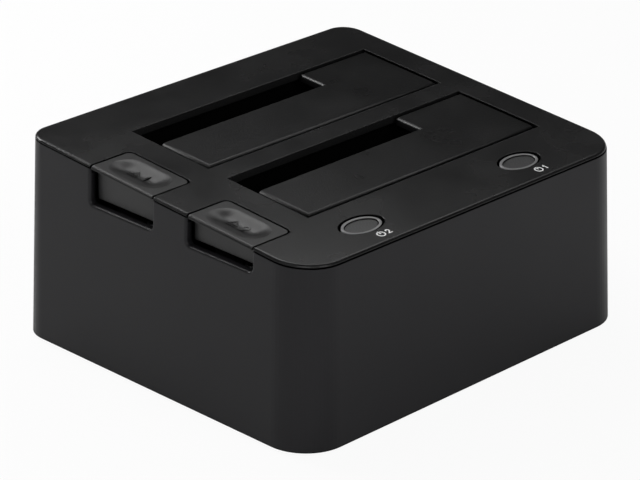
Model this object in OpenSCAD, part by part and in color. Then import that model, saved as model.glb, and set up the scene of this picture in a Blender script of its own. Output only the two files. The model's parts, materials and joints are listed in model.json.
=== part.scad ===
// Docking station for two bare hard drives, with sprung bay flaps, eject buttons
// that tip a lever under the drive, and two power buttons.
// Millimetres. X runs to the right along the front, Y from front to back, Z up.
// The origin lies under the middle of the base, on the surface that the feet stand on.

/* [Case] */
// Width of the case at its base, left to right
case_w = 146.3; // [142:0.1:160]
// Depth of the case at its base, front to back
case_d = 128.2; // [124:0.1:140]
// Height of the top above the underside of the base, at the middle of the top
case_h = 63.1; // [58:0.1:75]
// Fall of the top towards the front, in degrees
top_tilt = 3.9; // [1:0.1:5]
// Lean of each side wall over its height
side_lean = 2.2; // [1:0.1:4]
// Lean of the front wall over its height
front_lean = 2.8; // [1:0.1:6]
// Lean of the back wall over its height
back_lean = 3; // [1:0.1:4]
// Radius of the front upright corners at the base
base_front_r = 14.5; // [10:0.1:16]
// Radius of the back upright corners at the base
base_back_r = 10.6; // [8:0.1:14]
// Radius of the front upright corners at the top
top_front_r = 13.5; // [9:0.1:15]
// Radius of the back upright corners at the top
top_back_r = 7.6; // [6.5:0.1:12]
// Thickness of the housing walls
wall = 2.5; // [1.8:0.1:3]
// Thickness of the base plate
base_t = 2.5; // [2.4:0.1:4]
// Reach of the rubber feet below the base
foot_h = 1; // [0.5:0.1:3]
// Diameter of the rubber feet
foot_d = 12; // [8:0.5:14]

/* [Top cover] */
// Thickness of the cover
cover_t = 2.6; // [2.4:0.1:3.4]
// Thickness of the cover's rim, above the seam
rim_t = 0.8; // [0.7:0.1:1.2]
// Rounding of the top's outer edge
rim_r = 1; // [0.5:0.1:1.2]
// Height of the seam under the rim
seam_h = 0.4; // [0.2:0.05:0.6]
// Depth of the seam
seam_in = 1.2; // [1:0.1:1.4]
// Height of the lip that locates the cover inside the housing
lip_h = 2.4; // [1.5:0.1:4]
// Thickness of that lip
lip_t = 1.2; // [0.8:0.1:1.8]

/* [Drive bays] */
// Length of each bay, for a 3.5 inch drive 101.6 wide
bay_l = 104; // [103:0.5:107]
// Width of each bay, for a drive 26.1 thick beside the folded flap
bay_w = 34.6; // [33:0.1:36]
// Distance between the centre lines of the bays
bay_pitch = 42.7; // [42.5:0.1:44]
// Shift of the bays to the right of the case's middle
bay_right = 7.5; // [6:0.1:9]
// Shift of the web between the bays to the back of the case's middle
bay_back = 2.6; // [2:0.1:4]
// Length of the slot for a 2.5 inch drive 69.85 wide
slot_l = 73.2; // [71:0.2:76]
// Width of that slot
slot_w = 11.7; // [9.8:0.1:13]
// Thickness of the well walls and floors
well_t = 1.6; // [1.2:0.1:2]
// Room behind the cover's edge at the back of each well
well_back_room = 2; // [1.9:0.1:2.4]
// Room beside the cover's edge at the ends of each well
well_end_room = 0.4; // [0.2:0.1:0.8]
// Width of the guide ribs in the wells
rib_w = 2; // [1:0.1:4]

/* [Flaps] */
// Thickness of the flaps
flap_t = 2.4; // [2:0.1:3]
// Radius of the rolled hinge edge
barrel_r = 2.3; // [2.2:0.05:2.6]
// Depth of the flaps below the top
flap_sink = 0.4; // [0.2:0.1:1]
// Gap between the hinge edge and the bay's front edge
flap_front_gap = 0.8; // [0.5:0.1:1.2]
// Gap at the left end of the flap
flap_left_gap = 1.3; // [0.5:0.1:1.5]
// Gap at the right end of the flap
flap_right_gap = 0.9; // [0.5:0.1:1.5]
// Gap at the back of the flap
flap_back_gap = 1.2; // [0.8:0.1:1.6]
// Rounding of the flap's left edge
flap_edge_r = 2; // [0.8:0.1:2.2]
// Rounding of the edge at the end of the 2.5 inch slot
flap_step_r = 1.2; // [0.6:0.1:2]
// Diameter of the hinge pins
hinge_pin_d = 1.5; // [1.2:0.1:1.6]
// Width of the stop tab under the cover
stop_tab_w = 16; // [8:1:20]
// Reach of the stop tab behind the bay's back edge
stop_tab_reach = 1.5; // [1:0.1:1.6]
// Wire of the flap springs
flap_wire = 0.5; // [0.4:0.05:0.55]
// Turns of the flap springs
flap_turns = 5; // [3:1:7]

/* [Eject buttons] */
// Length of each eject cap, front to back
cap_l = 27; // [24:0.2:29]
// Web between a bay's left edge and the eject cap
cap_web = 10.3; // [10:0.1:12]
// Shift of each cap to the front of its bay's centre line
cap_front = 6.9; // [6:0.1:8]
// Thickness of the caps
cap_t = 2.2; // [1.8:0.1:3]
// Thickness of the lip in front of each cap's skirt
cap_lip = 1.1; // [0.9:0.1:1.6]
// Radius of the caps' inner corners
cap_r = 2; // [1:0.1:5]
// Gap between each cap and the top cover
cap_gap = 0.6; // [0.3:0.05:0.8]
// Depth of the dished finger rest
dish_depth = 1.2; // [0.6:0.1:1.4]
// Flat border round the dish
dish_border = 1.6; // [1.2:0.1:2.5]
// Drop of the wall notches below the middle of the top
notch_drop = 10.6; // [10:0.1:13]
// Rounding of the notches' outer edges
notch_edge_r = 1; // [0.4:0.1:1.4]
// Gap between the skirt and the notch's floor
skirt_gap = 1.2; // [1:0.1:3]
// Travel of the eject buttons
eject_travel = 5; // [3:0.1:5]
// Distance from the lever's pivot to the button's nose
lever_arm = 12.5; // [11.5:0.1:13]
// Reach of the lever's toe past its pivot
lever_toe = 10.5; // [9:0.1:12]
// Length of the toe under the drive
toe_l = 17; // [8:0.5:18]
// Diameter of the lever pins
lever_pin_d = 2; // [1.6:0.1:2.4]
// Length of the eject springs at rest
eject_spring_l = 13; // [11:0.1:14]
// Wire of the eject springs
eject_wire = 0.8; // [0.6:0.05:0.9]
// Mean radius of the eject springs
eject_spring_r = 3.4; // [3:0.1:3.8]
// Turns of the eject springs
eject_turns = 6; // [4:1:7]

/* [Power buttons] */
// Length of the oval power buttons
power_l = 14.8; // [12:0.1:16]
// Width of the oval power buttons
power_w = 9.4; // [8:0.1:10]
// Gap at the ends of each power button
power_end_gap = 1.1; // [0.4:0.1:1.4]
// Gap at the sides of each power button
power_side_gap = 0.5; // [0.4:0.1:0.8]
// Distance between the power buttons
power_spread = 70.2; // [60:0.2:76]
// Distance from the cover's front edge to the buttons
power_inset = 12.6; // [11:0.1:14]
// Width of the rim round each button
power_rim = 1; // [0.8:0.1:1.6]
// Depth of that rim below the top
power_sink = 0.25; // [0:0.05:0.4]
// Depth of the lens below the rim
lens_sink = 0.45; // [0.3:0.05:1]
// Gap round the lens
lens_gap = 0.2; // [0.1:0.05:0.4]
// Travel of the power buttons
power_travel = 0.5; // [0.3:0.05:0.6]

/* [Boards] */
// Thickness of the circuit boards
board_t = 1.6; // [1:0.1:2]
// Height of the standoffs under the main board
standoff_h = 3.5; // [3.2:0.1:6]
// Height of the well legs on the main board
leg_h = 5.4; // [5:0.1:8]
// Diameter of the standoffs and legs
leg_d = 8; // [7:0.1:9]
// Diameter of the corner columns
column_d = 7; // [6:0.1:7.4]
// Diameter of the screw shanks
screw_d = 2.8; // [2.2:0.1:3]
// Diameter of the screw heads
screw_head_d = 5.2; // [4.4:0.1:5.6]
// Height of the screw heads
screw_head_h = 1.2; // [0.8:0.1:1.4]
// Length of the case and frame screws under the head
screw_l = 10; // [8.6:0.1:10.2]
// Drop of the button board below the cover's top
button_board_drop = 9.5; // [9:0.1:11]
// Depth of the button board
button_board_d = 12.4; // [11:0.1:12.8]
// Side of the square tact switches
tact_w = 6; // [5:0.1:6.4]

/* [Clearances] */
// Gap between pieces that slide past each other
slide_gap = 0.4; // [0.3:0.05:0.5]
// Gap between pieces that seat on each other
seat_gap = 0.2; // [0.1:0.05:0.3]
// Radial gap of a pin in its bore
pin_gap = 0.05; // [0.03:0.01:0.08]

/* [Hidden] */
$fn = 64;

// Colours
BLACK = [0.09, 0.09, 0.095];
SOFT_BLACK = [0.13, 0.13, 0.135];
SMOKE = [0.16, 0.16, 0.17];
RUBBER = [0.05, 0.05, 0.05];
STEEL = [0.72, 0.73, 0.75];
GOLD = [0.85, 0.66, 0.25];
BOARD_GREEN = [0.06, 0.25, 0.14];
CHIP = [0.07, 0.07, 0.08];
PORT_BLUE = [0.10, 0.30, 0.65];
CABLE_GREY = [0.55, 0.55, 0.57];
LAMP = [0.85, 0.90, 0.95];

// Overlap of shapes that are fused into one piece
fuse = 0.2;
// Length that cuts right through a piece
far = 300;

// Heights from the standing surface
base_z = foot_h;
floor_z = base_z + base_t;
board_z = floor_z + standoff_h;
board_top = board_z + board_t;
well_z = board_top + leg_h;
well_floor = well_z + well_t;
top_z = base_z + case_h;
notch_z = top_z - notch_drop;

// Plan of the sloping top
top_y = (front_lean - back_lean) / 2;
top_w = case_w - 2 * side_lean;
function deck_z(y) = top_z + tan(top_tilt) * (y - top_y);

// Front and back edges of the top, up the slope: where it meets the leaning walls
slope = tan(top_tilt) / case_h;
deck_v0 = ((front_lean * (1 - slope * top_y) - case_d / 2) / (1 - front_lean * slope) - top_y)
    / cos(top_tilt);
deck_v1 = ((case_d / 2 - back_lean * (1 - slope * top_y)) / (1 + back_lean * slope) - top_y)
    / cos(top_tilt);
// Extra room at the back for the cover's lip, which stands less upright than the wall
lip_room = max(0, (cover_t + lip_h) * (sin(top_tilt) - back_lean / case_h));
corner_steps = 16;
edge_steps = 5;

// Bays, rear one first
bay_ys = [bay_back + bay_pitch / 2, bay_back - bay_pitch / 2];
bay_x0 = bay_right - bay_l / 2;
bay_x1 = bay_right + bay_l / 2;
function bay_y0(i) = bay_ys[i] - bay_w / 2;
function bay_y1(i) = bay_ys[i] + bay_w / 2;
well_x0 = bay_x0 - well_end_room;
well_x1 = bay_x1 + well_end_room;
leg_xs = [bay_x0 + 19, bay_x1 - 9];
leg_front = 8;
// Outer faces of the front well's front wall and the rear well's back wall
front_well_v = (bay_y0(1) - well_t - top_y) / cos(top_tilt);
rear_well_y = bay_y1(0) + well_back_room + well_t;

// Flap hinges
hinge_r = hinge_pin_d / 2;
bore_r = hinge_r + pin_gap;
hinge_drop = flap_sink + barrel_r;
function hinge_y(i) = bay_y0(i) + flap_front_gap + barrel_r;
function hinge_z(i) = deck_z(hinge_y(i)) - hinge_drop / cos(top_tilt);
flap_x0 = bay_x0 + flap_left_gap;
flap_x1 = bay_x1 - flap_right_gap;
flap_step_x = bay_x0 + slot_l;
hinge_in = flap_front_gap + barrel_r;
strip_v = bay_w - slot_w - hinge_in;
block_v = bay_w - flap_back_gap - hinge_in;
pin_reach = well_end_room + well_t;
flap_spring_r = bore_r + flap_wire / 2 + 0.3;
flap_pitch = flap_wire + 0.5;
flap_pocket_r = flap_spring_r + flap_wire / 2 + 0.15;
flap_pocket_l = flap_turns * flap_pitch + flap_wire + 1.6;
flap_pocket_x = flap_step_x + 8;

// Eject buttons
cap_x0 = -top_w / 2;
cap_x1 = bay_x0 - cap_web;
function cap_y(i) = bay_ys[i] - cap_front;
lever_pin_r = lever_pin_d / 2;
hub_r = lever_pin_r + 1.6;
lever_w = 5;
lever_t = 3;
ear_t = 1.5;
pivot_x = well_x0 - well_t - hub_r - slide_gap;
pivot_z = well_floor - lever_t / 2 - 0.9;
nose_x = pivot_x - lever_arm;
nose_r = 1.5;
nose_z = pivot_z + lever_t / 2 + slide_gap + nose_r;
stem_back = 5;
stem_x = 4;
stem_y = 8;
function lever_y(i) = cap_y(i) + stem_back;
spring_front = 7;
function spring_y(i) = cap_y(i) - spring_front;
spring_x = nose_x;
shelf_t = 2;
spring_top = notch_z + 1.2;
shelf_z = spring_top - eject_spring_l;
skirt_t = 1.6;
notch_wall_x = case_w / 2 - side_lean * (notch_z - base_z) / case_h - wall;
skirt_x = slide_gap - notch_wall_x;
post_r = eject_spring_r - eject_wire / 2 - 0.6;

// Power buttons
power_xs = [power_spread / 2, -power_spread / 2];
oval_points = 72;
flange_reach = 0.7;
flange_t = 0.8;
hole_l = power_l + 2 * power_end_gap;
hole_w = power_w + 2 * power_side_gap;
power_v = min(deck_v0 + power_inset, front_well_v - hole_w / 2 - flange_reach - 1);
lens_t = 1;
lens_z = -power_sink - lens_sink - lens_t;
stem_drop = 5.3;
tact_drop = button_board_drop - 3.5;
plunger_r = 1.7;
button_boss_d = 4.6;
button_boss_x = power_spread / 2 + hole_l / 2 + flange_reach + button_boss_d / 2 + 0.7;
button_boss_xs = [-button_boss_x, button_boss_x];
button_board_w = 2 * button_boss_x + button_boss_d + 2;
button_board_back = min(button_board_d / 2, front_well_v - power_v - 0.8);
small_screw_d = 1.8;
small_screw_l = 5;

// Main board and what it carries
board_x0 = well_x0 - 2;
board_x1 = well_x1 + 1.4;
board_y0 = bay_y0(1) - well_t - 9;
board_y1 = case_d / 2 - wall - 2.8;
socket_x = bay_x0 + 31.3;
socket_in = 5.2;
function socket_y(i) = bay_y1(i) - socket_in;
socket_l = 42.4;
socket_w = 5.8;
socket_base_l = 45;
socket_base_w = 8;
socket_rise = 6;
socket_top = well_floor + socket_rise;
power_slot = [20.6, 2.4];
data_slot = [10.4, 2.4];
slot_depth = 5.2;
key_w = 1.2;
contact_pitch = 1.27;
contact = [0.7, 0.3, 4.2];
ribbon_w = 8;
ribbon_t = 0.8;
ribbon_socket = [10, 3, 3];
ribbon_y = board_y0 + 3.2;

// Ports in the back wall
usb_x = 14;
jack_x = -14;
port_y = case_d / 2 - 1;
port_room = port_y - rear_well_y - 0.5;
usb_depth = min(13.5, port_room);
jack_depth = min(12.5, port_room);
jack_w = 9;
jack_h = 12;
jack_z = board_top + jack_h / 2;
jack_bore_d = 6.4;
jack_pin_d = 2;
usb_skin = 0.5;
usb_z = board_top + 0.3;

// Corner columns, with their screws
column_x = [case_w / 2 - 12.5, case_w / 2 - 11];
column_y = [max(case_d / 2 - 11.5, rear_well_y + column_d / 2 + seat_gap), case_d / 2 - 13];
columns = [
    [-column_x[0], column_y[0]], [column_x[0], column_y[0]],
    [-column_x[1], -column_y[1]], [column_x[1], -column_y[1]]
];
screw_hole_d = screw_d + 0.3;
head_sink = screw_head_h + 0.2;
feet = [for (x = [-1, 1], y = [-1, 1]) [x * (case_w / 2 - 22), y * (case_d / 2 - 17)]];
foot_sink = 1;

// Places its children on the sloping top: z = 0 is its face, y runs up the slope
module on_top(drop = 0) {
    translate([0, top_y, top_z]) rotate([top_tilt, 0, 0]) translate([0, 0, -drop]) children();
}

// Everything above a level of the sloping top
module above_top(drop) {
    on_top(drop) translate([-far / 2, -far / 2, 0]) cube([far, far, far / 2]);
}

// Extrudes a drawing in the Y-Z plane along X
module along_x(x0, x1) {
    translate([x0, 0, 0]) rotate([90, 0, 90]) linear_extrude(x1 - x0) children();
}

// Extrudes a drawing in the X-Z plane along Y
module along_y(y0, y1) {
    translate([0, y1, 0]) rotate([90, 0, 0]) linear_extrude(y1 - y0) children();
}

// Points round a rectangle whose front and back corners have their own radii
function outline(x0, x1, y0, y1, rf, rb, steps) = [for (k = [0 : 3], s = [0 : steps])
    let (r = k == 0 || k == 3 ? rf : rb, a = 90 * (k - 1 + s / steps))
    [(k < 2 ? x1 - r : x0 + r) + r * cos(a), (k == 0 || k == 3 ? y0 + r : y1 - r) + r * sin(a)]];

// Solid through rings of points, lowest first
module loft(rings) {
    n = len(rings[0]);
    last = (len(rings) - 1) * n;
    walls = [for (i = [0 : len(rings) - 2], k = [0 : n - 1])
        let (a = i * n + k, b = i * n + (k + 1) % n) [a, a + n, b + n, b]];
    bottom = [for (k = [0 : n - 1]) k];
    top = [for (k = [n - 1 : -1 : 0]) last + k];
    polyhedron([for (ring = rings) each ring], concat(walls, [bottom, top]));
}

// Plan of the case, with its front and back corners
module case_plan(x, y0, y1, rf, rb) {
    mid = (y0 + y1) / 2;
    translate([-x, y0 + rf]) square([2 * x, y1 - y0 - rf - rb]);
    translate([rf - x, y0]) square([2 * (x - rf), mid - y0]);
    translate([rb - x, mid]) square([2 * (x - rb), y1 - mid]);
    for (s = [-1, 1]) {
        translate([s * (x - rf), y0 + rf]) circle(rf);
        translate([s * (x - rb), y1 - rb]) circle(rb);
    }
}

// Rectangle with round corners
module rounded_plan(w, d, r) {
    square([w - 2 * r, d], center = true);
    square([w, d - 2 * r], center = true);
    for (x = [-1, 1], y = [-1, 1])
        translate([x * (w / 2 - r), y * (d / 2 - r)]) circle(r);
}

// Ellipse
module oval(l, w) {
    polygon([for (i = [0 : oval_points - 1])
        [l / 2 * cos(360 * i / oval_points), w / 2 * sin(360 * i / oval_points)]]);
}

// Box between two corners
module box(a, b) {
    translate(a) cube(b - a);
}

// Round wire along a path, with its rings set by a direction that it never follows
function unit(v) = v / norm(v);
function path_dir(p, i) = unit(p[min(i + 1, len(p) - 1)] - p[max(i - 1, 0)]);
function path_ring(p, i, r, side, n) =
    let (t = path_dir(p, i), a = unit(cross(t, side)), b = cross(a, t))
    [for (k = [0 : n - 1]) p[i] + r * (cos(360 * k / n) * a + sin(360 * k / n) * b)];
module wire(p, r, side, n = 8) {
    rings = len(p);
    points = [for (i = [0 : rings - 1]) each path_ring(p, i, r, side, n)];
    walls = [for (i = [0 : rings - 2], k = [0 : n - 1], half = [0, 1])
        let (a = i * n + k, b = i * n + (k + 1) % n)
        half == 0 ? [a, b, b + n] : [a, b + n, a + n]];
    last = (rings - 1) * n;
    start = [for (k = [1 : n - 2]) [0, k + 1, k]];
    finish = [for (k = [1 : n - 2]) [last, last + k, last + k + 1]];
    polyhedron(points, concat(walls, start, finish));
}

// Outline of the case at a share of its height, drawn in on every side
function case_outline(inset, t) = outline(
    side_lean * t + inset - case_w / 2, case_w / 2 - side_lean * t - inset,
    front_lean * t + inset - case_d / 2, case_d / 2 - back_lean * t - inset,
    base_front_r + (top_front_r - base_front_r) * t - inset,
    base_back_r + (top_back_r - base_back_r) * t - inset, corner_steps);

// The leaning form of the case, up to past the sloping top
module case_form(inset, below) {
    loft([for (t = [-below / case_h, 1 + 12 / case_h])
        [for (p = case_outline(inset, t)) [p[0], p[1], base_z + t * case_h]]]);
}

// Plate in the outline of the sloping top, with a rounded outer edge
module deck_form(thick) {
    deep = 6;
    rounding = [for (k = [0 : edge_steps]) let (a = 90 * k / edge_steps)
        [rim_r * (1 - cos(a)), rim_r * (sin(a) - 1)]];
    intersection() {
        on_top() loft([for (e = concat([[0, -deep]], rounding))
            [for (p = outline(e[0] - top_w / 2, top_w / 2 - e[0], deck_v0 + e[0], deck_v1 - e[0],
                top_front_r - e[0], top_back_r - e[0], corner_steps)) [p[0], p[1], e[1]]]]);
        above_top(thick);
    }
}

// Four walls, with notches for the eject caps and cut-outs for the ports
module housing() color(BLACK) difference() {
    case_form(0, 0);
    case_form(wall, 1);
    above_top(rim_t + seam_h);
    intersection() {
        case_form(seam_in - seat_gap, 0);
        above_top(cover_t);
    }
    for (i = [0, 1]) eject_notch(i);
    translate([usb_x, 0, usb_z]) along_y(port_y - wall - 4, far) usb_profile(slide_gap);
    translate([jack_x, 0, jack_z]) along_y(port_y - wall - 4, far)
        square([jack_w + 2 * slide_gap, jack_h + 2 * slide_gap], center = true);
}

// Notch in the left wall, which the lip of an eject cap travels in
module eject_notch(i) {
    notch_r = 1.5;
    h = 2 * notch_drop;
    translate([0, cap_y(i), notch_z + h / 2]) along_x(-far, pivot_x - hub_r)
        rounded_plan(cap_l + 2 * slide_gap, h, notch_r);
    half = cap_l / 2 + slide_gap;
    slip = 0.05;
    flare = [for (k = [0 : edge_steps]) let (a = 90 * k / edge_steps)
        [notch_edge_r * (1 - cos(a)) - slip, notch_edge_r * (sin(a) - 1)]];
    translate([side_lean * (notch_z - base_z) / case_h - case_w / 2, cap_y(i), notch_z])
        rotate([0, atan(side_lean / case_h), 0]) rotate([90, 0, -90])
        loft([for (e = concat(flare, [[notch_edge_r - slip, 1]]))
            [for (p = outline(-half - e[0], half + e[0], -e[0], h, notch_r + e[0], notch_r, 4))
                [p[0], p[1], e[1]]]]);
}

// Base plate inside the walls, with standoffs for the main board
module base_plate() color(BLACK) difference() {
    in = wall + seat_gap + max(side_lean, front_lean, back_lean) * base_t / case_h;
    union() {
        translate([0, 0, base_z]) linear_extrude(base_t) case_plan(case_w / 2 - in, in - case_d / 2,
            case_d / 2 - in, base_front_r - in, base_back_r - in);
        for (x = leg_xs, y = bay_ys) translate([x, y - leg_front, floor_z - fuse])
            cylinder(d = leg_d, h = standoff_h + fuse);
    }
    for (p = columns) translate([p[0], p[1], 0]) screw_way(base_t);
    for (x = leg_xs, y = bay_ys) translate([x, y - leg_front, 0]) screw_way(base_t + standoff_h);
    for (p = feet) translate([p[0], p[1], base_z - fuse]) cylinder(d = foot_d + 2 * seat_gap,
        h = foot_sink + fuse);
}

// Hole and head recess of a screw that enters from below
module screw_way(depth) {
    translate([0, 0, base_z - fuse]) cylinder(d = screw_head_d + 2 * slide_gap, h = head_sink + fuse);
    translate([0, 0, base_z]) cylinder(d = screw_hole_d, h = depth + fuse);
}

// Screw with its head at the given height, pointing up
module screw(head_z, d, l, head_d, head_h) {
    translate([0, 0, head_z - head_h]) difference() {
        cylinder(d = head_d, h = head_h);
        for (a = [0, 90])
            rotate(a) translate([-head_d / 4, -0.3, -fuse]) cube([head_d / 2, 0.6, head_h / 2 + fuse]);
    }
    translate([0, 0, head_z - fuse]) cylinder(d = d, h = l + fuse);
}

// Four screws that draw the base to the cover's columns
module case_screws() color(STEEL) {
    for (p = columns) translate([p[0], p[1], 0])
        screw(base_z + head_sink, screw_d, screw_l, screw_head_d, screw_head_h);
}

// Four screws through the base and the main board into the well legs
module frame_screws() color(STEEL) {
    for (x = leg_xs, y = bay_ys) translate([x, y - leg_front, 0])
        screw(base_z + head_sink, screw_d, screw_l, screw_head_d, screw_head_h);
}

// Four round feet, set into the base
module rubber_feet() color(RUBBER) {
    for (p = feet) translate([p[0], p[1], 0]) cylinder(d = foot_d, h = base_z + foot_sink);
}

// Sloping cover with the bay openings, columns and bosses
module top_cover() color(SOFT_BLACK) difference() {
    union() {
        deck_form(rim_t);
        on_top(cover_t) linear_extrude(cover_t - rim_t + fuse) lip_plan(seam_in);
        on_top(cover_t + lip_h) linear_extrude(lip_h + fuse) difference() {
            lip_plan(wall + seat_gap);
            lip_plan(wall + seat_gap + lip_t);
        }
        for (p = columns) translate([p[0], p[1], floor_z])
            cylinder(d = column_d, h = deck_z(p[1]) - cover_t / 2 - floor_z);
        for (x = button_boss_xs) on_top(button_board_drop) translate([x, power_v, 0])
            cylinder(d = button_boss_d, h = button_board_drop - cover_t / 2);
    }
    for (i = [0, 1]) {
        box([bay_x0, bay_y0(i), notch_z], [bay_x1, bay_y1(i), far]);
        translate([0, cap_y(i), notch_z]) linear_extrude(far) cap_plan(cap_x0 - 1, cap_gap);
        hinge_line(i) cylinder(r = bore_r, h = bay_l + 2 * (pin_reach + slide_gap), center = true);
    }
    for (x = power_xs) on_top(cover_t + fuse) translate([x, power_v, 0])
        linear_extrude(cover_t + 1) oval(hole_l, hole_w);
    for (p = columns) translate([p[0], p[1], 0]) cylinder(d = screw_hole_d, h = floor_z + screw_l);
    for (x = button_boss_xs) on_top(button_board_drop) translate([x, power_v, -fuse])
        cylinder(d = small_screw_d + 0.2, h = small_screw_l + fuse);
}

// Outline inside the housing walls, under the cover
module lip_plan(inset) {
    case_plan(top_w / 2 - inset, deck_v0 + inset, deck_v1 - inset - lip_room,
        top_front_r - inset, top_back_r - inset);
}

// Outline of an eject cap: straight at the left edge, round at the inner corners
module cap_plan(x0, grow) {
    w = cap_x1 + grow - x0;
    l = cap_l + 2 * grow;
    r = cap_r + grow;
    translate([x0, -l / 2]) square([w - r, l]);
    translate([x0, r - l / 2]) square([w, l - 2 * r]);
    for (s = [-1, 1]) translate([x0 + w - r, s * (l / 2 - r)]) circle(r);
}

// Turns a cylinder's axis onto a flap's hinge line, centred on the bay
module hinge_line(i) {
    translate([bay_right, hinge_y(i), hinge_z(i)]) rotate([0, 90, 0]) children();
}

// Well that guides a drive down to its socket
module bay_well(i) difference() {
    y0 = bay_y0(i);
    y1 = bay_y1(i) + well_back_room;
    union() {
        difference() {
            box([well_x0 - well_t, y0 - well_t, well_z], [well_x1 + well_t, y1 + well_t, top_z + 10]);
            box([well_x0, y0, well_floor], [well_x1, y1, far]);
        }
        for (x = [bay_x0 + 12, bay_x0 + slot_l / 2, flap_step_x - 6])
            box([x - rib_w / 2, y1 - well_back_room + seat_gap, well_z],
                [x + rib_w / 2, y1 + fuse, notch_z]);
        for (x = leg_xs) translate([x, bay_ys[i] - leg_front, board_top])
            cylinder(d = leg_d, h = leg_h + fuse);
        for (s = [-1, 1]) lever_ear(i, s);
        eject_shelf(i);
    }
    above_top(cover_t + seat_gap);
    socket_cut(i);
    for (x = leg_xs) translate([x, bay_ys[i] - leg_front, board_top - fuse])
        cylinder(d = screw_hole_d, h = base_z + head_sink + screw_l - board_top + 2 * fuse);
    hinge_line(i) cylinder(r = bore_r, h = bay_l + 2 * (pin_reach + slide_gap), center = true);
    for (x = [well_x0 - well_t - fuse, well_x1 - fuse])
        box([x, hinge_y(i) - bore_r, hinge_z(i)], [x + well_t + 2 * fuse, hinge_y(i) + bore_r, far]);
    flap_spring_anchor(i);
    lever_slot(i);
}

// Cut in a well's floor round the drive socket
module socket_cut(i) {
    box([socket_x - socket_l / 2 - slide_gap, socket_y(i) - socket_w / 2 - slide_gap, well_z - fuse],
        [socket_x + socket_l / 2 + slide_gap, socket_y(i) + socket_w / 2 + slide_gap, well_floor + fuse]);
}

// Hole in a well's front wall for the fixed leg of the flap spring
module flap_spring_anchor(i) {
    flap_place(i) translate([flap_pocket_x + flap_turns * flap_pitch, -hinge_in, -flap_spring_r])
        rotate([90, 0, 0]) cylinder(r = flap_wire, h = 2 * well_t + 2, center = true);
}

// One of two ears that carry the eject lever's pin
module lever_ear(i, s) difference() {
    y = lever_y(i) + s * (lever_w / 2 + slide_gap + ear_t / 2);
    box([pivot_x - hub_r, y - ear_t / 2, pivot_z - hub_r],
        [well_x0 - well_t + fuse, y + ear_t / 2, well_floor + 4]);
    translate([pivot_x, y, pivot_z]) rotate([90, 0, 0])
        cylinder(r = lever_pin_r + pin_gap, h = 2 * ear_t, center = true);
}

// Slot that the eject lever swings in, through the wall and the floor
module lever_slot(i) {
    lift = lever_toe * sin(lever_turn()) + 3;
    box([pivot_x, lever_y(i) - lever_w / 2 - slide_gap, well_z - fuse],
        [well_x0 + fuse, lever_y(i) + lever_w / 2 + slide_gap, well_floor + lift]);
    box([well_x0 - fuse, lever_y(i) - lever_w / 2 - slide_gap, well_z - fuse],
        [pivot_x + lever_toe + 2.6, lever_y(i) + toe_l - lever_w / 2 + slide_gap, well_floor + fuse]);
}

// Turn of the lever over the button's travel, in degrees
function lever_turn() = eject_travel / lever_arm * 180 / PI;

// Shelf on a well's left wall: it guides the button's stem and carries its spring
module eject_shelf(i) {
    x0 = spring_x - eject_spring_r - eject_wire;
    y0 = spring_y(i) - eject_spring_r - eject_wire - 1;
    y1 = lever_y(i) + stem_y / 2 + slide_gap + 2;
    difference() {
        union() {
            box([x0, y0, shelf_z - shelf_t], [well_x0 - well_t + fuse, y1, shelf_z]);
            for (y = [y0, y1 - well_t]) shelf_bracket(y, x0);
        }
        box([nose_x - stem_x / 2 - slide_gap, lever_y(i) - stem_y / 2 - slide_gap, 0],
            [nose_x + stem_x / 2 + slide_gap, lever_y(i) + stem_y / 2 + slide_gap, shelf_z + fuse]);
    }
    translate([spring_x, spring_y(i), shelf_z - fuse]) cylinder(r = post_r, h = 4 + fuse);
}

// Gusset under one end of the shelf
module shelf_bracket(y, x0) {
    along_y(y, y + well_t) polygon([
        [x0, shelf_z - shelf_t + fuse], [well_x0 - well_t + fuse, shelf_z - shelf_t + fuse],
        [well_x0 - well_t + fuse, shelf_z - shelf_t - 12]
    ]);
}

// Places its children at a flap's hinge, level with the sloping top
module flap_place(i) {
    translate([0, hinge_y(i), hinge_z(i)]) rotate([top_tilt, 0, 0]) children();
}

// Flap over the part of a bay that a 2.5 inch drive leaves free
module flap(i) flap_place(i) difference() {
    tab_x = (flap_step_x + flap_x1 - stop_tab_w) / 2;
    tab_v = bay_w - hinge_in + stop_tab_reach;
    under = barrel_r - flap_t;
    tab_top = hinge_drop - cover_t - 0.3;
    tab_t = 1.4;
    union() {
        along_x(flap_x0, flap_x1) {
            circle(barrel_r);
            translate([0, under]) square([strip_v, flap_t]);
        }
        along_x(flap_step_x, flap_x1) translate([0, under]) square([block_v, flap_t]);
        box([tab_x, block_v - 4, tab_top - tab_t], [tab_x + stop_tab_w, block_v, under + fuse]);
        box([tab_x, block_v - fuse, tab_top - tab_t], [tab_x + stop_tab_w, tab_v, tab_top]);
    }
    along_x(flap_x0 - 1, flap_x1 + 1) circle(bore_r);
    edge_round_cut(flap_x0, flap_edge_r, -barrel_r - 1, strip_v + 1);
    edge_round_cut(flap_step_x, flap_step_r, strip_v, block_v + 1);
    along_x(flap_pocket_x - 0.8 - flap_wire / 2, flap_pocket_x + flap_pocket_l - 0.8) {
        circle(flap_pocket_r);
        translate([-barrel_r - 1, -barrel_r - 1]) square([2 * barrel_r + 2, barrel_r + 0.3]);
    }
}

// Rounds over an edge of the flap that faces left
module edge_round_cut(x, r, v0, v1) {
    translate([x, 0, barrel_r]) along_y(v0, v1) difference() {
        translate([-1, -r]) square([r + 1, r + 1]);
        translate([r, -r]) circle(r);
    }
}

// Steel pin that a flap turns on
module flap_pin(i) {
    hinge_line(i) cylinder(r = hinge_r, h = bay_l + 2 * pin_reach, center = true);
}

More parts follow.
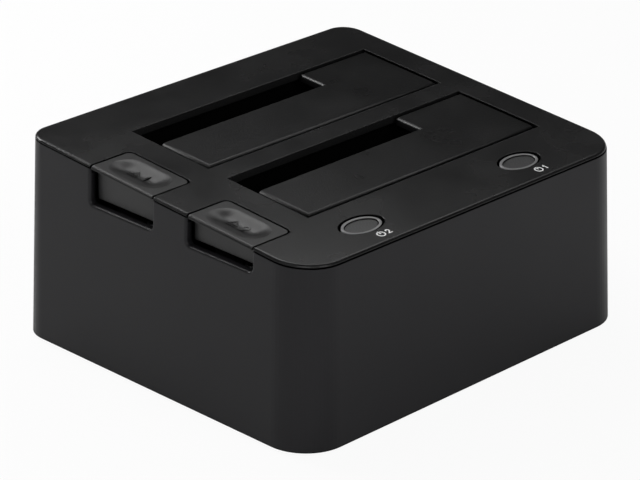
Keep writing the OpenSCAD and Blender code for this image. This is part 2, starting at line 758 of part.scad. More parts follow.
// Torsion spring round the hinge pin: one leg lifts the flap, one is held in the well
module flap_spring(i) {
    steps = 12;
    lead = 8;
    leg = 6;
    turn = 360 * flap_turns + lead;
    count = round(turn / 360 * steps);
    first = 270 + lead;
    rise = [cos(lead), sin(lead)];
    coil = [for (k = [0 : count]) let (a = first - turn * k / count)
        [flap_pocket_x + flap_turns * flap_pitch * k / count,
        flap_spring_r * cos(a), flap_spring_r * sin(a)]];
    free_leg = [for (k = [3 : -1 : 1]) coil[0] + [0, rise[0], rise[1]] * leg * k / 3];
    held_leg = [for (k = [1 : 3]) coil[count] - [0, hinge_in + 0.6 * well_t, 0] * k / 3];
    flap_place(i) wire(concat(free_leg, coil, held_leg), flap_wire / 2, [1, 0, 0], 6);
}

// Eject button: dished cap, skirt, stem with a rounded nose, and spring cup
module eject_button(i) {
    y = cap_y(i);
    cup_r = eject_spring_r + eject_wire;
    difference() {
        intersection() {
            union() {
                intersection() {
                    translate([0, y, notch_z]) linear_extrude(far) cap_plan(cap_x0 - 1, 0);
                    deck_form(cap_lip);
                }
                intersection() {
                    translate([0, y, notch_z]) linear_extrude(far) cap_plan(skirt_x, 0);
                    deck_form(cap_t);
                }
                box([skirt_x, y - cap_l / 2 + seat_gap, notch_z + skirt_gap],
                    [skirt_x + skirt_t, y + cap_l / 2 - seat_gap, far]);
                box([nose_x - stem_x / 2, lever_y(i) - stem_y / 2, nose_z + 3],
                    [nose_x + stem_x / 2, lever_y(i) + stem_y / 2, far]);
                stem_nose(i);
                translate([spring_x, spring_y(i), spring_top]) cylinder(r = cup_r, h = far / 4);
            }
            on_top() translate([-far / 2, -far / 2, -far]) cube(far);
        }
        cap_dish(y);
    }
}

// Narrow lower end of the stem, rounded where it meets the lever
module stem_nose(i) {
    along_y(lever_y(i) - lever_w / 2, lever_y(i) + lever_w / 2) translate([nose_x, nose_z]) {
        circle(nose_r);
        translate([-nose_r, 0]) square([2 * nose_r, 3 + fuse]);
    }
}

// Finger dish: a trough with round ends, whose sides level out at the floor and at the border
module cap_dish(y) {
    rings = 12;
    points = 56;
    slip = 0.02;
    mid_x = (cap_x0 + cap_x1) / 2;
    chord = (cap_x1 - cap_x0) / 2 - dish_border;
    half = cap_l / 2 - dish_border - chord;
    fall = [for (k = [1 : rings])
        [chord * k / rings, slip - (dish_depth + slip) * (1 + cos(180 * k / rings)) / 2]];
    on_top() translate([mid_x, (y - top_y) / cos(top_tilt), 0])
        loft([for (e = concat(fall, [[chord, 1]])) [for (k = [0 : points - 1])
            let (a = 360 * (k + 0.5) / points)
            [e[0] * cos(a), e[0] * sin(a) + (a < 180 ? half : -half), e[1]]]]);
}

// Rocker that lifts the drive when the button's nose presses its outer end
module eject_lever(i) {
    y0 = lever_y(i) - lever_w / 2;
    toe_w = 4;
    difference() {
        union() {
            along_y(y0, y0 + lever_w) translate([pivot_x, pivot_z]) {
                circle(hub_r);
                translate([-lever_arm - nose_r, -lever_t / 2])
                    square([lever_arm + nose_r + lever_toe, lever_t]);
            }
            along_y(y0, y0 + toe_l) translate([pivot_x + lever_toe, pivot_z]) {
                circle(lever_t / 2);
                translate([-toe_w, -lever_t / 2]) square([toe_w, lever_t]);
            }
        }
        translate([pivot_x, y0 + lever_w / 2, pivot_z]) rotate([90, 0, 0])
            cylinder(r = lever_pin_r + pin_gap, h = lever_w + 1, center = true);
    }
}

// Pin of an eject lever
module lever_pin(i) {
    translate([pivot_x, lever_y(i), pivot_z]) rotate([90, 0, 0])
        cylinder(r = lever_pin_r, h = lever_w + 2 * (slide_gap + ear_t), center = true);
}

// Compression spring under an eject button
module eject_spring(i) {
    steps = 12;
    count = eject_turns * steps;
    rise = eject_spring_l - eject_wire;
    path = [for (k = [0 : count]) let (a = 360 * k / steps)
        [eject_spring_r * cos(a), eject_spring_r * sin(a), eject_wire / 2 + rise * k / count]];
    translate([spring_x, spring_y(i), shelf_z]) wire(path, eject_wire / 2 * 0.94, [0, 0, 1], 6);
}

// Oval push button with a rim, a flange under the cover and a stem
module power_button(x) on_top() translate([x, power_v, 0]) difference() {
    union() {
        translate([0, 0, -cover_t - 0.3 - fuse]) linear_extrude(cover_t + 0.3 + fuse - power_sink)
            oval(power_l, power_w);
        translate([0, 0, -cover_t - 0.3 - flange_t]) linear_extrude(flange_t)
            oval(hole_l + 2 * flange_reach, hole_w + 2 * flange_reach);
        translate([0, 0, -stem_drop]) cylinder(r = 2, h = stem_drop - cover_t);
    }
    translate([0, 0, lens_z]) linear_extrude(far) oval(power_l - 2 * power_rim, power_w - 2 * power_rim);
}

// Smoked lens in the button's recess
module power_lens(x) on_top() translate([x, power_v, lens_z]) linear_extrude(lens_t)
    oval(power_l - 2 * (power_rim + lens_gap), power_w - 2 * (power_rim + lens_gap));

// Plunger of a tact switch, which the button's stem presses
module switch_plunger(x) on_top(tact_drop + 0.4) translate([x, power_v, 0])
    cylinder(r = plunger_r, h = tact_drop + 0.4 - stem_drop);

// Two tact switches on the button board
module tact_switches() color(CHIP) for (x = power_xs) {
    on_top(button_board_drop) translate([x, power_v, 0]) difference() {
        translate([-tact_w / 2, -tact_w / 2, 0]) cube([tact_w, tact_w, button_board_drop - tact_drop]);
        translate([0, 0, button_board_drop - tact_drop - 1.2]) cylinder(r = plunger_r + 0.1, h = 2);
    }
}

// Lamp beside each tact switch
module status_leds() color(LAMP) for (x = power_xs, s = [-1, 1]) {
    on_top(button_board_drop) translate([x + s * (tact_w / 2 + 1.8) - 0.8, power_v - 0.6, 0])
        cube([1.6, 1.2, 0.8]);
}

// Small board under the power buttons
module button_board() color(BOARD_GREEN) on_top(button_board_drop + board_t) difference() {
    translate([-button_board_w / 2, power_v - button_board_d / 2, 0])
        cube([button_board_w, button_board_d / 2 + button_board_back, board_t]);
    for (x = button_boss_xs) translate([x, power_v, -1]) cylinder(d = small_screw_d + 0.4, h = board_t + 2);
}

// Screws that hold the button board to the cover's bosses
module button_board_screws() color(STEEL) for (x = button_boss_xs) {
    on_top(button_board_drop + board_t) translate([x, power_v, 0])
        screw(0, small_screw_d, board_t + small_screw_l - 0.4, small_screw_d + 2, 1);
}

// Upper end of the ribbon, under the button board
ribbon_top = [top_y + (power_v + 2) * cos(top_tilt), deck_z(top_y + power_v) - button_board_drop
    - board_t - ribbon_socket[2] - 0.6];
ribbon_low = [ribbon_y, board_top + ribbon_socket[2]];

// Flat cable between the two boards
module button_ribbon() color(CABLE_GREY) {
    steps = 16;
    mid = [for (k = [0 : steps]) let (t = k / steps)
        [ribbon_low[0] + (ribbon_top[0] - ribbon_low[0]) * (3 * t * t - 2 * t * t * t),
         ribbon_low[1] + (ribbon_top[1] - ribbon_low[1]) * t]];
    along_x(-ribbon_w / 2, ribbon_w / 2) polygon(concat(
        [for (p = mid) p - [ribbon_t / 2, 0]],
        [for (k = [steps : -1 : 0]) mid[k] + [ribbon_t / 2, 0]]));
}

// Sockets at the ribbon's ends
module ribbon_sockets() color(CHIP) {
    translate([-ribbon_socket[0] / 2, ribbon_y - ribbon_socket[1] / 2, board_top]) cube(ribbon_socket);
    difference() {
        box([-ribbon_socket[0] / 2, ribbon_top[0] - ribbon_socket[1] / 2, ribbon_top[1]],
            [ribbon_socket[0] / 2, ribbon_top[0] + ribbon_socket[1] / 2, top_z]);
        above_top(button_board_drop + board_t);
    }
}

// Main board with holes for the frame screws and a corner column
module main_board() color(BOARD_GREEN) difference() {
    box([board_x0, board_y0, board_z], [board_x1, board_y1, board_top]);
    for (x = leg_xs, y = bay_ys) translate([x, y - leg_front, board_z - 1])
        cylinder(d = screw_hole_d + 0.2, h = board_t + 2);
    for (p = columns) translate([p[0], p[1], board_z - 1]) cylinder(d = column_d + 1, h = board_t + 2);
}

// Drive socket with a power slot and a data slot
module sata_socket(i) translate([socket_x, socket_y(i), 0]) difference() {
    union() {
        box([-socket_base_l / 2, -socket_base_w / 2, board_top],
            [socket_base_l / 2, socket_base_w / 2, well_z - seat_gap]);
        box([-socket_l / 2, -socket_w / 2, board_top], [socket_l / 2, socket_w / 2, socket_top]);
    }
    for (s = [[power_x(), power_slot], [data_x(), data_slot]])
        translate([s[0] - s[1][0] / 2, -s[1][1] / 2, socket_top - slot_depth]) {
            cube([s[1][0], s[1][1], slot_depth + 1]);
            translate([s[1][0] - key_w, 0, 0]) cube([key_w, s[1][1] + 0.9, slot_depth + 1]);
        }
}

// Centres of the two slots along the socket
function power_x() = -socket_l / 2 + 2.6 + power_slot[0] / 2;
function data_x() = socket_l / 2 - 3.2 - data_slot[0] / 2;

// Spring contacts along the front wall of the two slots
module sata_contacts(i) {
    for (s = [[power_x(), 15], [data_x(), 7]], k = [0 : s[1] - 1]) {
        x = socket_x + s[0] + (k - (s[1] - 1) / 2) * contact_pitch - 0.5;
        y = socket_y(i) - power_slot[1] / 2;
        translate([x - contact[0] / 2, y, socket_top - slot_depth]) cube(contact);
    }
}

// Stepped outline of the square port, with a narrow upper part
module usb_profile(grow) {
    translate([-6 - grow, -grow]) square([12 + 2 * grow, 8 + 2 * grow]);
    translate([-4.4 - grow, 0]) square([8.8 + 2 * grow, 11 + grow]);
}

// Metal shell of the square port
module usb_port_shell() color(STEEL) translate([usb_x, 0, usb_z - 0.3]) difference() {
    along_y(port_y - usb_depth, port_y) usb_profile(0);
    along_y(port_y - usb_depth + 1, port_y + 1) translate([0, usb_skin]) usb_profile_inner();
}

// Clear space inside the shell
module usb_profile_inner() {
    translate([-6 + usb_skin, 0]) square([12 - 2 * usb_skin, 8 - 2 * usb_skin]);
    translate([-4.4 + usb_skin, 0]) square([8.8 - 2 * usb_skin, 11 - 2 * usb_skin]);
}

// Contact tongue inside the port
module usb_port_tongue() color(PORT_BLUE) translate([usb_x, 0, usb_z - 0.3]) {
    back = port_y - usb_depth + 1;
    box([-5, back, usb_skin], [5, back + 3, 7]);
    box([-2.8, back + 2.8, 2.6], [2.8, port_y - 2, 5.6]);
    box([-2.8, back, 6.8], [2.8, port_y - 2, 8.6]);
}

// Power inlet on the main board
module power_jack() color(CHIP) translate([jack_x, 0, 0]) difference() {
    box([-jack_w / 2, port_y - jack_depth, board_top], [jack_w / 2, port_y, jack_z + jack_h / 2]);
    translate([0, port_y + 1, jack_z]) rotate([90, 0, 0]) cylinder(d = jack_bore_d, h = 10);
}

// Centre pin of the power inlet
module power_jack_pin() color(STEEL) translate([jack_x, port_y - 1, jack_z]) rotate([90, 0, 0])
    cylinder(d = jack_pin_d, h = 8);

// Bridge chip, hub chip and memory chip
module bridge_chips() color(CHIP) {
    for (c = [[0, 20, 10], [26, 22, 8], [30, -14, 5]])
        translate([c[0], c[1] - c[2] / 2, board_top]) cube([c[2], c[2], 1.2]);
}

// Electrolytic capacitors behind the rear well
module board_capacitors() color(STEEL) {
    y = max(board_y1 - 6, rear_well_y + 3.6);
    for (x = [30, 38, 46]) translate([x, y, board_top]) {
        cylinder(d = 6.3, h = 7.2);
        translate([-3.3, -3.3, 0]) cube([6.6, 6.6, 1]);
    }
}

// Square coils of the voltage converters
module board_coils() color(CHIP) {
    for (x = [-36, -26]) translate([x - 3.5, board_y1 - 10, board_top]) cube([7, 7, 4]);
}

module rear_bay_well() color(BLACK) bay_well(0);
module front_bay_well() color(BLACK) bay_well(1);
module rear_flap() color(SOFT_BLACK) flap(0);
module front_flap() color(SOFT_BLACK) flap(1);
module rear_flap_pin() color(STEEL) flap_pin(0);
module front_flap_pin() color(STEEL) flap_pin(1);
module rear_flap_spring() color(STEEL) flap_spring(0);
module front_flap_spring() color(STEEL) flap_spring(1);
module rear_eject_button() color(SOFT_BLACK) eject_button(0);
module front_eject_button() color(SOFT_BLACK) eject_button(1);
module rear_eject_lever() color(SMOKE) eject_lever(0);
module front_eject_lever() color(SMOKE) eject_lever(1);
module rear_lever_pin() color(STEEL) lever_pin(0);
module front_lever_pin() color(STEEL) lever_pin(1);
module rear_eject_spring() color(STEEL) eject_spring(0);
module front_eject_spring() color(STEEL) eject_spring(1);
module power_button_1() color(SOFT_BLACK) power_button(power_xs[0]);
module power_button_2() color(SOFT_BLACK) power_button(power_xs[1]);
module power_lens_1() color(SMOKE) power_lens(power_xs[0]);
module power_lens_2() color(SMOKE) power_lens(power_xs[1]);
module switch_plunger_1() color(SMOKE) switch_plunger(power_xs[0]);
module switch_plunger_2() color(SMOKE) switch_plunger(power_xs[1]);
module rear_sata_socket() color(CHIP) sata_socket(0);
module front_sata_socket() color(CHIP) sata_socket(1);
module rear_sata_contacts() color(GOLD) sata_contacts(0);
module front_sata_contacts() color(GOLD) sata_contacts(1);

base_plate();
housing();
top_cover();
rubber_feet();
case_screws();
frame_screws();
rear_bay_well();
front_bay_well();
rear_flap();
front_flap();
rear_flap_pin();
front_flap_pin();
rear_flap_spring();
front_flap_spring();
rear_eject_button();
front_eject_button();
rear_eject_lever();
front_eject_lever();
rear_lever_pin();
front_lever_pin();
rear_eject_spring();
front_eject_spring();
power_button_1();
power_button_2();
power_lens_1();
power_lens_2();
switch_plunger_1();
switch_plunger_2();
tact_switches();
status_leds();
button_board();
button_board_screws();
button_ribbon();
ribbon_sockets();
main_board();
rear_sata_socket();
front_sata_socket();
rear_sata_contacts();
front_sata_contacts();
usb_port_shell();
usb_port_tongue();
power_jack();
power_jack_pin();
bridge_chips();
board_capacitors();
board_coils();
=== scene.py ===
"""Looks of the two-bay drive dock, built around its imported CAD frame."""
import json
import math

import bpy
from mathutils import Matrix, Vector


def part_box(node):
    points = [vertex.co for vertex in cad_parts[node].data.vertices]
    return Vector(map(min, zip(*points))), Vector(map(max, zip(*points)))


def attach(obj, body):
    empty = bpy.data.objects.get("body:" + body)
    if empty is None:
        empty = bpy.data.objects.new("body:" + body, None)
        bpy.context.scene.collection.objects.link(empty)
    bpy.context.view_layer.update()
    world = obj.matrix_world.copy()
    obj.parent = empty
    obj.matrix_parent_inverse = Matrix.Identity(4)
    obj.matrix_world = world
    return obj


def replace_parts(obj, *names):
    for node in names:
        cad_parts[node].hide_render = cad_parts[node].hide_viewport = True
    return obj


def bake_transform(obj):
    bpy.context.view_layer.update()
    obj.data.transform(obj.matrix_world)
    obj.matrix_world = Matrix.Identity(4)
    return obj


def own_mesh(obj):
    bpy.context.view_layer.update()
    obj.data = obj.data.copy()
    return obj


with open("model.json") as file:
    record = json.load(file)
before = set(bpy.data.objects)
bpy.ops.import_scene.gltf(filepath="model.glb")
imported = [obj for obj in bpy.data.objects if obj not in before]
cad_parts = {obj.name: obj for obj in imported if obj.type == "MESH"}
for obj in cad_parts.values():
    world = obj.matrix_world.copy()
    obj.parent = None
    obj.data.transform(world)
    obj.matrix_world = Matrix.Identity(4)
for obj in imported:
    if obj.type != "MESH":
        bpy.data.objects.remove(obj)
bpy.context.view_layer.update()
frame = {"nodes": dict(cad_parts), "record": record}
scene = bpy.context.scene
nodes = frame["nodes"]
MM = 0.001

# The sloping top: its middle in millimetres, and the way it falls to the front
TOP_Y, TOP_Z = -0.1, 64.1
TILT = math.radians(3.9)
TOP_FRAME = Matrix.Translation(Vector((0, TOP_Y, TOP_Z)) * MM) @ Matrix.Rotation(TILT, 4, "X")


# Materials

# Share of open air at which the painted shade in a nook is full black, and at which none is painted
PAINTED_SHADE_FULL_AT, PAINTED_SHADE_NONE_AT = 0.65, 0.97
# Length of one band of the wave texture at a scale of 1
BAND = 0.314


def new_material(name):
    """A material with its node tree and its shader."""
    made = bpy.data.materials.new(name)
    made.use_nodes = True
    tree = made.node_tree
    return made, tree, tree.nodes["Principled BSDF"]


def add(tree, kind, links=None, **values):
    """A node with its settings and input values, linked from other sockets."""
    node = tree.nodes.new(kind)
    for key, value in values.items():
        if hasattr(node, key):
            setattr(node, key, value)
        else:
            node.inputs[key.replace("_", " ")].default_value = value
    for key, socket in (links or {}).items():
        tree.links.new(socket, node.inputs[key])
    return node


def ramp(tree, socket, low, high, out_low, out_high):
    """A socket's value carried from one range to another, and held at its ends."""
    node = add(tree, "ShaderNodeMapRange", {"Value": socket})
    ends = {"From Min": low, "From Max": high, "To Min": out_low, "To Max": out_high}
    for key, value in ends.items():
        node.inputs[key].default_value = value
    return node.outputs["Result"]


def math_node(tree, operation, a, b):
    """A math node on two inputs, each a socket or a number."""
    node = add(tree, "ShaderNodeMath", operation=operation)
    for slot, value in enumerate((a, b)):
        if isinstance(value, (int, float)):
            node.inputs[slot].default_value = value
        else:
            tree.links.new(value, node.inputs[slot])
    return node.outputs[0]


def two_shades(tree, factor, dark, light):
    """A mix of two colours by a socket."""
    shade = add(tree, "ShaderNodeMix", {"Factor": factor}, data_type="RGBA")
    shade.inputs["A"].default_value = [*dark, 1]
    shade.inputs["B"].default_value = [*light, 1]
    return shade.outputs["Result"]


def weave(tree, where, pitch):
    """Height of crossing threads, their pitch in millimetres."""
    scale = BAND / (pitch * MM)
    waves = []
    for axis in "XY":
        wave = add(tree, "ShaderNodeTexWave", {"Vector": where}, bands_direction=axis, Scale=scale,
                   Distortion=0.6)
        waves.append(wave.outputs["Fac"])
    return math_node(tree, "MULTIPLY", *waves)


def plastic(name, colour, rough, grain=0.3, depth=0.02, spread=0.04, gloss=0.5, tint=0.12, painted_shade_reach=0.0,
            pitch=0.0, edge=0.0):
    """Moulded plastic: fine grain or weave, slow changes of tone and gloss, painted shade that darkens
    colour and gloss in nooks, and soft edges.

    Grain, depth, the reach of the painted shade in nooks, pitch and edge are in millimetres.
    """
    made, tree, shader = new_material(name)
    where = add(tree, "ShaderNodeTexCoord").outputs["Object"]
    fine = add(tree, "ShaderNodeTexNoise", {"Vector": where}, Scale=1000 / grain, Detail=2.0, Roughness=0.6)
    slow = add(tree, "ShaderNodeTexNoise", {"Vector": where}, Scale=45.0, Detail=3.0, Roughness=0.55)
    height = weave(tree, where, pitch) if pitch else fine.outputs["Fac"]
    dark = [c * (1 - tint) for c in colour]
    light = [c * (1 + tint) for c in colour]
    base = two_shades(tree, height if pitch else slow.outputs["Fac"], dark, light)
    shader.inputs["Specular IOR Level"].default_value = gloss
    # Painted shade: ambient occlusion blackens the colour and dims the gloss in nooks, gaps and creases,
    # where shade falls
    if painted_shade_reach:
        open_air = add(tree, "ShaderNodeAmbientOcclusion", samples=8, Distance=painted_shade_reach * MM).outputs["AO"]
        clear = ramp(tree, open_air, PAINTED_SHADE_FULL_AT, PAINTED_SHADE_NONE_AT, 0.0, 1.0)
        base_with_painted_shade = add(tree, "ShaderNodeMix", {"B": base, "Factor": clear}, data_type="RGBA")
        base_with_painted_shade.inputs["A"].default_value = (0, 0, 0, 1)
        base = base_with_painted_shade.outputs["Result"]
        tree.links.new(math_node(tree, "MULTIPLY", clear, gloss), shader.inputs["Specular IOR Level"])
    tree.links.new(base, shader.inputs["Base Color"])
    worn = ramp(tree, slow.outputs["Fac"], 0.3, 0.7, rough - spread, rough + spread)
    tree.links.new(worn, shader.inputs["Roughness"])
    bump = add(tree, "ShaderNodeBump", {"Height": height}, Strength=1.0, Distance=depth * MM)
    if edge:
        rounded = add(tree, "ShaderNodeBevel", samples=6, Radius=edge * MM)
        tree.links.new(rounded.outputs["Normal"], bump.inputs["Normal"])
    tree.links.new(bump.outputs["Normal"], shader.inputs["Normal"])
    return made


def metal(name, colour, rough, grain=0.15):
    """Drawn or plated metal with fine, faint changes of shade and gloss."""
    made, tree, shader = new_material(name)
    where = add(tree, "ShaderNodeTexCoord").outputs["Object"]
    noise = add(tree, "ShaderNodeTexNoise", {"Vector": where}, Scale=1000 / grain, Detail=3.0)
    fine = noise.outputs["Fac"]
    worn = ramp(tree, fine, 0.3, 0.7, rough * 0.7, rough * 1.3)
    tree.links.new(worn, shader.inputs["Roughness"])
    base = two_shades(tree, fine, [c * 0.88 for c in colour], colour)
    tree.links.new(base, shader.inputs["Base Color"])
    shader.inputs["Metallic"].default_value = 1.0
    return made


# Where a material has a reach for its nooks, painted shade darkens it there, out to that many millimetres
CASE = plastic("case_plastic", (0.0115, 0.0112, 0.0126), 0.40, depth=0.012, gloss=0.22, painted_shade_reach=2, edge=0.4)
COVER = plastic("cover_plastic", (0.010, 0.010, 0.0102), 0.26, depth=0.010, gloss=0.25, painted_shade_reach=1.5, edge=0.45)
FLAP = plastic("flap_plastic", (0.006, 0.006, 0.0062), 0.30, grain=0.6, depth=0.06, gloss=0.18, painted_shade_reach=3,
               edge=0.3)
BUTTON = plastic("button_plastic", (0.010, 0.010, 0.0102), 0.36, depth=0.008, gloss=0.38, painted_shade_reach=1.5)
MARK = plastic("mark_plastic", (0.008, 0.008, 0.0082), 0.32, depth=0.006, gloss=0.3)
RING = plastic("ring_plastic", (0.19, 0.19, 0.192), 0.30, depth=0.006, gloss=0.4, painted_shade_reach=1)
LENS = plastic("lens_plastic", (0.014, 0.014, 0.015), 0.38, depth=0.05, gloss=0.6, tint=0.5, painted_shade_reach=1,
               pitch=0.6)
# Inner black plastic, its colour set far darker than the case's black: painted shade inside the bays and
# slots
INNER_WITH_PAINTED_SHADE = plastic("inner_plastic_with_painted_shade", (0.0009, 0.0009, 0.0009), 0.6, grain=0.4, gloss=0.04)
RUBBER = plastic("foot_rubber", (0.012, 0.012, 0.012), 0.8, grain=0.5, depth=0.05, gloss=0.3)
LEVER = plastic("lever_plastic", (0.06, 0.06, 0.063), 0.45, grain=0.4)
CHIP = plastic("resin", (0.012, 0.012, 0.013), 0.5)
BOARD = plastic("board_lacquer", (0.012, 0.075, 0.035), 0.3, grain=1.2, tint=0.25)
PORT = plastic("port_plastic", (0.02, 0.09, 0.36), 0.35, grain=0.4, depth=0.01)
RIBBON = plastic("ribbon_plastic", (0.35, 0.35, 0.36), 0.45, grain=0.8, depth=0.03)
LAMP = plastic("lamp_plastic", (0.7, 0.75, 0.8), 0.3, depth=0.01)
STEEL = metal("steel", (0.62, 0.63, 0.65), 0.28)
GOLD = metal("plated_contact", (0.85, 0.62, 0.26), 0.25)
INK = plastic("white_ink", (0.80, 0.80, 0.80), 0.5, grain=0.2, depth=0.005)

FINISH = {
    "case_black": CASE, "cover_black": COVER, "flap_black": FLAP, "button_black": BUTTON,
    "lens_smoke": LENS, "inner_black": INNER_WITH_PAINTED_SHADE, "rubber_black": RUBBER, "steel": STEEL, "gold": GOLD,
    "board_green": BOARD, "chip_black": CHIP, "port_blue": PORT, "cable_grey": RIBBON,
    "lamp_white": LAMP, "lever_grey": LEVER,
}


# CAD nodes: finishes, and softened edges where they show

# Width of each bevel in millimetres
EDGES = {
    "housing": 0.35, "top_cover": 0.35, "rear_flap": 0.4, "front_flap": 0.4, "rear_eject_button": 0.3,
    "front_eject_button": 0.3, "power_button_1": 0.25, "power_button_2": 0.25, "base_plate": 0.3,
}
SHARP = math.radians(35)
FLAT = math.radians(0.4)


def soften(obj, width, clamp):
    """Joins the split vertices, clears flat triangles, and rounds the sharp edges."""
    weld = obj.modifiers.new("weld", "WELD")
    weld.merge_threshold = 1e-6
    flat = obj.modifiers.new("flat", "DECIMATE")
    flat.decimate_type = "DISSOLVE"
    flat.angle_limit = FLAT
    edge = obj.modifiers.new("edge", "BEVEL")
    edge.width = width * MM
    edge.segments = 3
    edge.limit_method = "ANGLE"
    edge.angle_limit = SHARP
    edge.harden_normals = False
    edge.use_clamp_overlap = clamp


for part in frame["record"]["subparts"]:
    name = part["node"]
    finish = RING if name.startswith("power_button") else FINISH[part["material_slot"]]
    nodes[name].data.materials.clear()
    nodes[name].data.materials.append(finish)

for name, width in EDGES.items():
    soften(nodes[name], width, clamp="button" not in name)


# Springs: copies that take the place of their nodes


def spring(node):
    """A copy of a spring's node that takes its place."""
    coil = bpy.data.objects.new(node + "_wound", nodes[node].data.copy())
    scene.collection.objects.link(coil)
    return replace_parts(coil, node)


def twist_flap_spring(row):
    """The flap spring's copy, with its placing baked into its mesh."""
    node = row + "_flap_spring"
    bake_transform(spring(node))


def shorten_eject_spring(row):
    """The eject spring's copy, held to the dock's body on a mesh of its own."""
    node = row + "_eject_spring"
    low, high = map(Vector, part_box(node))
    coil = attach(spring(node), "dock_body")
    tuple(low)
    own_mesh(coil)


for row in ("rear", "front"):
    twist_flap_spring(row)
    shorten_eject_spring(row)


# Prints and raised marks

# Places and sizes in millimetres, on the sloping top
LINE = 0.55
POWER_X, PRINT_V = 35.1, -57.0
PRINT_SHIFT = 0.2
PRINT_RING, PRINT_RISE = 1.28, 0.03
PRINT_DIGIT, PRINT_DIGIT_X = 2.0, 3.05
CAP_X, DISH_CHORD, DISH_DEPTH = -62.875, 6.475, 1.2
CAPS = ((1, "rear", 17.05), (2, "front", -25.65))
MARK_RISE, MARK_SINK = 0.14, 0.06
ARROW_LEFT, ARROW_RIGHT, ARROW_FOOT, ARROW_TIP, ARROW_BAR = -4.2, -0.6, -0.2, 1.7, -1.4
CAP_DIGIT, CAP_DIGIT_X, CAP_DIGIT_Y = 3.4, 2.4, 0.1


def on_deck(u, v, height=0.0):
    """A point of the sloping top: along X, up the slope and above it, in millimetres."""
    return TOP_FRAME @ (Vector((u, v, height)) * MM)


def in_dish(cap_v):
    """Lays marks in a cap's finger dish, read from the left side of the dock."""
    def place(u, v, height):
        fall = DISH_DEPTH * (1 + math.cos(math.pi * v / DISH_CHORD)) / 2
        return on_deck(CAP_X + v, cap_v - u, height - fall)
    return place


def arc(cx, cy, r, first, last, steps):
    """Points of an arc, its angles in degrees."""
    angles = [math.radians(first + (last - first) * k / steps) for k in range(steps + 1)]
    return [(cx + r * math.cos(a), cy + r * math.sin(a)) for a in angles]


def digit(number, x, y, h):
    """A plain 1 or 2 as one line, centred at x, y and h tall."""
    if number == 1:
        line = [(-0.22, 0.24), (0.0, 0.5), (0.0, -0.5)]
    else:
        line = arc(0, 0.22, 0.28, 165, -38, 12) + [(-0.28, -0.5), (0.3, -0.5)]
    return [(x + h * a, y + h * b) for a, b in line]


def strokes(name, lines, width, rise, place, made, body, sink=0.02):
    """Raised strokes along lines of points, each a low ridge with sloping sides."""
    verts, faces = [], []
    profile = ((-0.5, -sink), (-0.36, rise), (0.36, rise), (0.5, -sink))
    for line in lines:
        points = [Vector(p) for p in line]
        count = len(points)
        first = len(verts)
        for k, point in enumerate(points):
            before = (point - points[max(k - 1, 0)]).normalized()
            after = (points[min(k + 1, count - 1)] - point).normalized()
            way = (before + after).normalized()
            side = Vector((-way.y, way.x)) / max(way.dot(after if after.length else before), 0.5)
            end = way * (width / 3) * ((k == count - 1) - (k == 0))
            for across, height in profile:
                spot = point + end + side * across * width
                verts.append(place(spot.x, spot.y, height))
        for k in range(count - 1):
            a = first + 4 * k
            faces += [(a + j, a + j + 1, a + j + 5, a + j + 4) for j in range(3)]
        last = first + 4 * count - 4
        faces.append((first + 3, first + 2, first + 1, first))
        faces.append((last, last + 1, last + 2, last + 3))
    mesh = bpy.data.meshes.new(name)
    mesh.from_pydata(verts, [], faces)
    mesh.materials.append(made)
    obj = bpy.data.objects.new(name, mesh)
    scene.collection.objects.link(obj)
    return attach(obj, body)


for number, x in ((1, POWER_X + PRINT_SHIFT), (2, -POWER_X)):
    ring = arc(x, PRINT_V, PRINT_RING, 118, 422, 32)
    bar = [(x, PRINT_V + 0.25), (x, PRINT_V + 1.45)]
    marks = [ring, bar, digit(number, x + PRINT_DIGIT_X, PRINT_V, PRINT_DIGIT)]
    strokes("power_print_%d" % number, marks, LINE, PRINT_RISE, on_deck, INK, "dock_body")

for number, row, cap_y in CAPS:
    place = in_dish((cap_y - TOP_Y) / math.cos(TILT))
    foot = [(ARROW_LEFT, ARROW_FOOT), (ARROW_RIGHT, ARROW_FOOT)]
    tip = ((ARROW_LEFT + ARROW_RIGHT) / 2, ARROW_TIP)
    bar = [(ARROW_LEFT, ARROW_BAR), (ARROW_RIGHT, ARROW_BAR)]
    marks = [[*foot, tip, *foot], bar, digit(number, CAP_DIGIT_X, CAP_DIGIT_Y, CAP_DIGIT)]
    strokes(row + "_cap_mark", marks, LINE, MARK_RISE, place, MARK, row + "_eject_button", sink=MARK_SINK)


# Camera, light and stage

def aim_camera():
    """The photograph's view, fitted to its edges."""
    yaw, pitch, roll = 0.796126, 0.418352, -0.008933
    spot = (-0.661352, -0.644810, 0.439892)
    forward = Vector((math.sin(yaw) * math.cos(pitch), math.cos(yaw) * math.cos(pitch), -math.sin(pitch)))
    level = Vector((math.cos(yaw), -math.sin(yaw), 0))
    fall = forward.cross(level)
    right = math.cos(roll) * level + math.sin(roll) * fall
    down = math.cos(roll) * fall - math.sin(roll) * level
    data = bpy.data.cameras.new("camera")
    data.sensor_width = 36
    data.lens = 179.943
    data.clip_start = 0.05
    data.clip_end = 20
    camera = bpy.data.objects.new("camera", data)
    turn = Matrix((right, -down, -forward)).transposed().to_4x4()
    camera.matrix_world = Matrix.Translation(spot) @ turn
    scene.collection.objects.link(camera)
    scene.camera = camera


def lamp(name, place, target, size, power):
    """A white area lamp aimed at a point."""
    data = bpy.data.lights.new(name, "AREA")
    data.shape = "RECTANGLE"
    data.size, data.size_y = size
    data.energy = power
    obj = bpy.data.objects.new(name, data)
    obj.location = place
    obj.rotation_euler = (Vector(target) - Vector(place)).to_track_quat("-Z", "Y").to_euler()
    scene.collection.objects.link(obj)


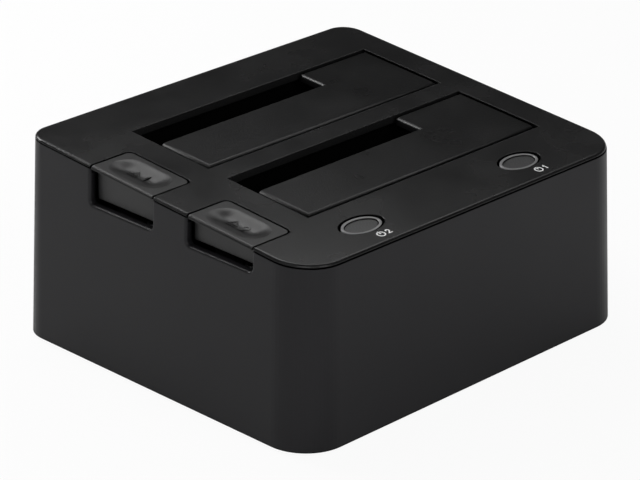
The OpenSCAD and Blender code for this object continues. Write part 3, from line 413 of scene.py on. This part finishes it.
def studio_world():
    """White to the camera; as light, pale near the horizon and dim higher up."""
    low, high = 0.06, 0.14
    pale, dim = 0.94, 0.02
    world = bpy.data.worlds.new("world")
    scene.world = world
    world.use_nodes = True
    tree = world.node_tree
    tree.nodes.clear()
    way = add(tree, "ShaderNodeTexCoord").outputs["Generated"]
    height = add(tree, "ShaderNodeSeparateXYZ", {"Vector": way}).outputs["Z"]
    level = ramp(tree, height, low, high, pale, dim)
    camera_ray = add(tree, "ShaderNodeLightPath").outputs["Is Camera Ray"]
    light = add(tree, "ShaderNodeBackground", {"Strength": level}, Color=(1, 1, 1, 1))
    seen = add(tree, "ShaderNodeBackground", Color=(1, 1, 1, 1), Strength=1.0)
    mix = add(tree, "ShaderNodeMixShader", {0: camera_ray, 1: light.outputs[0], 2: seen.outputs[0]})
    add(tree, "ShaderNodeOutputWorld", {"Surface": mix.outputs[0]})


def white_floor():
    """White floor that keeps a faint shadow, for the camera and for reflections; in reflections its white
    glow also fades near the dock, a painted shade around it.
    """
    half = 6.0
    seen_share = 0.93
    near, far = 0.08, 0.24
    near_share, far_share = 0.1, 0.6
    mesh = bpy.data.meshes.new("floor")
    corners = [(-half, -half, 0), (half, -half, 0), (half, half, 0), (-half, half, 0)]
    mesh.from_pydata(corners, [], [(0, 1, 2, 3)])
    floor = bpy.data.objects.new("floor", mesh)
    scene.collection.objects.link(floor)
    made, tree, shader = new_material("floor_white")
    shader.inputs["Base Color"].default_value = (0.85, 0.85, 0.85, 1)
    shader.inputs["Roughness"].default_value = 0.9
    shader.inputs["Specular IOR Level"].default_value = 0.0
    path = add(tree, "ShaderNodeLightPath").outputs
    place = add(tree, "ShaderNodeNewGeometry").outputs["Position"]
    away = add(tree, "ShaderNodeVectorMath", {0: place}, operation="LENGTH").outputs["Value"]
    shine = math_node(tree, "MAXIMUM", path["Is Glossy Ray"], path["Is Transmission Ray"])
    # Painted shade: in reflections the floor's white glow fades towards the dock, so the floor seen in the
    # walls is darker near it
    glow_with_painted_shade = math_node(tree, "MULTIPLY", shine, ramp(tree, away, near, far, near_share, far_share))
    seen = math_node(tree, "MULTIPLY", path["Is Camera Ray"], seen_share)
    share = math_node(tree, "MAXIMUM", glow_with_painted_shade, seen)
    glow = add(tree, "ShaderNodeEmission", Color=(1, 1, 1, 1), Strength=1.0)
    mix = add(tree, "ShaderNodeMixShader", {0: share, 1: shader.outputs[0], 2: glow.outputs[0]})
    tree.links.new(mix.outputs[0], tree.nodes["Material Output"].inputs["Surface"])
    mesh.materials.append(made)


# Places in metres and power in watts of the soft lamps around the dock
MIDDLE = (0, 0, 0.05)
SOFT_BOX = (0.28, 0.22)
LAMPS = (
    ("behind", (-0.10, 0.565, 0.452), 3.0),
    ("back_right", (0.225, 0.39, 0.586), 0.8),
    ("right", (0.446, 0.145, 0.570), 0.46),
    ("left", (-0.45, 0, 0.586), 0.26),
    ("near_camera", (-0.420, -0.420, 0.421), 1.34),
    ("front", (0, -0.594, 0.421), 0.92),
)

aim_camera()
studio_world()
white_floor()
for name, place, power in LAMPS:
    lamp(name, place, MIDDLE, SOFT_BOX, power)
lamp("close", (0.135, 0.107, 0.242), (-0.045, -0.05, 0.061), (0.075, 0.075), 0.014)

scene.view_settings.view_transform = "Standard"
